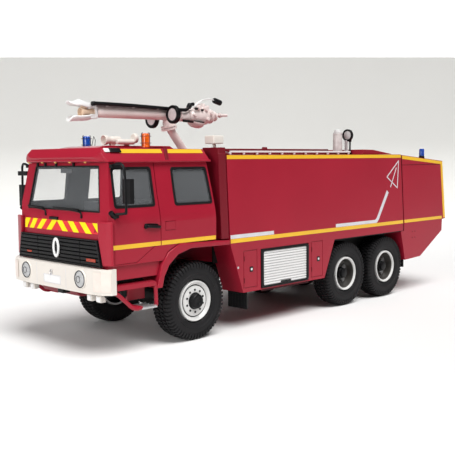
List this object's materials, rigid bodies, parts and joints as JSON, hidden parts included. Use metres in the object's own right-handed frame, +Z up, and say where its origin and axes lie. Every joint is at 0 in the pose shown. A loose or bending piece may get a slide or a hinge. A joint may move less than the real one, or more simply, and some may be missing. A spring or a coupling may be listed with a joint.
{
  "type": "scale model airport fire truck",
  "caption": "Collector's scale model of an airport fire truck: crew cab with water monitor above it, tank body with side shutters, and free-turning wheels on axle pins.",
  "frame": {"origin": "bottom centre of the whole model's bounding box, on the surface the tyres stand on", "axes": "+X forward, towards the cab; +Y to the truck's left; +Z up"},
  "size_m": [0.2234, 0.0706, 0.0898],
  "materials": {
    "red_paint": "satin raspberry red over cast resin",
    "dark_red_paint": "satin dark red",
    "cream_paint": "satin off-white",
    "white_paint": "satin white",
    "rim_paint": "satin white and silver",
    "black_plastic": "semi-matt black",
    "dark_grey_plastic": "matt dark grey",
    "tyre_rubber": "matt black rubber",
    "clear_plastic": "clear, glossy",
    "lamp_lens": "clear lens over a silver reflector",
    "blue_lens": "translucent blue",
    "amber_lens": "translucent amber"
  },
  "bodies": {
    "vehicle": {"beacon_left": "amber_lens", "beacon_right": "blue_lens", "cab_glazing": "clear_plastic", "cab_interior": "dark_grey_plastic", "cab_rear_frame": "dark_red_paint", "cab_roof": "red_paint", "cab_shell": "red_paint", "cab_step_left": "red_paint", "cab_step_right": "red_paint", "chassis_frame": "black_plastic", "corner_deflector_left": "red_paint", "corner_deflector_right": "red_paint", "engine_and_gearbox": "dark_grey_plastic", "fog_lamps_left": "black_plastic", "fog_lamps_right": "black_plastic", "front_axle_housing": "dark_grey_plastic", "front_bumper": "cream_paint", "front_fender_left": "red_paint", "front_fender_right": "red_paint", "front_skid_plate": "dark_red_paint", "grille": "black_plastic", "headlamp_left": "lamp_lens", "headlamp_right": "lamp_lens", "light_mast": "white_paint", "main_body": "red_paint", "middle_axle_housing": "dark_grey_plastic", "mirror_left": "black_plastic", "mirror_right": "black_plastic", "monitor_barrel": "cream_paint", "monitor_body": "cream_paint", "monitor_deflector": "cream_paint", "monitor_lamp_left": "black_plastic", "monitor_lamp_right": "black_plastic", "monitor_pipe": "black_plastic", "monitor_riser": "cream_paint", "mud_flap_left": "black_plastic", "mud_flap_right": "black_plastic", "prop_shaft": "dark_grey_plastic", "rear_axle_housing": "dark_grey_plastic", "rear_beacon": "blue_lens", "rear_module": "red_paint", "rear_tow_bar": "black_plastic", "roller_shutter_left": "white_paint", "roller_shutter_right": "white_paint", "roof_hatch": "red_paint", "roof_horns": "cream_paint", "roof_hose_tray": "dark_red_paint", "roof_ladder_left": "white_paint", "roof_ladder_right": "white_paint", "roof_work_lamp": "cream_paint", "steering_wheel": "black_plastic"},
    "front_wheels": {"front_axle_and_rims": "rim_paint", "front_tyre_left": "tyre_rubber", "front_tyre_right": "tyre_rubber"},
    "middle_wheels": {"middle_axle_and_rims": "rim_paint", "middle_tyre_left": "tyre_rubber", "middle_tyre_right": "tyre_rubber"},
    "rear_wheels": {"rear_axle_and_rims": "rim_paint", "rear_tyre_left": "tyre_rubber", "rear_tyre_right": "tyre_rubber"}
  },
  "joints": [
    {"name": "front_wheels_roll", "type": "hinge", "parent": "vehicle", "child": "front_wheels", "pos_m": [0.0684, 0, 0.0146], "axis": [0, 1, 0], "continuous": true},
    {"name": "middle_wheels_roll", "type": "hinge", "parent": "vehicle", "child": "middle_wheels", "pos_m": [-0.02425, 0, 0.0146], "axis": [0, 1, 0], "continuous": true},
    {"name": "rear_wheels_roll", "type": "hinge", "parent": "vehicle", "child": "rear_wheels", "pos_m": [-0.0559, 0, 0.0146], "axis": [0, 1, 0], "continuous": true}
  ]
}
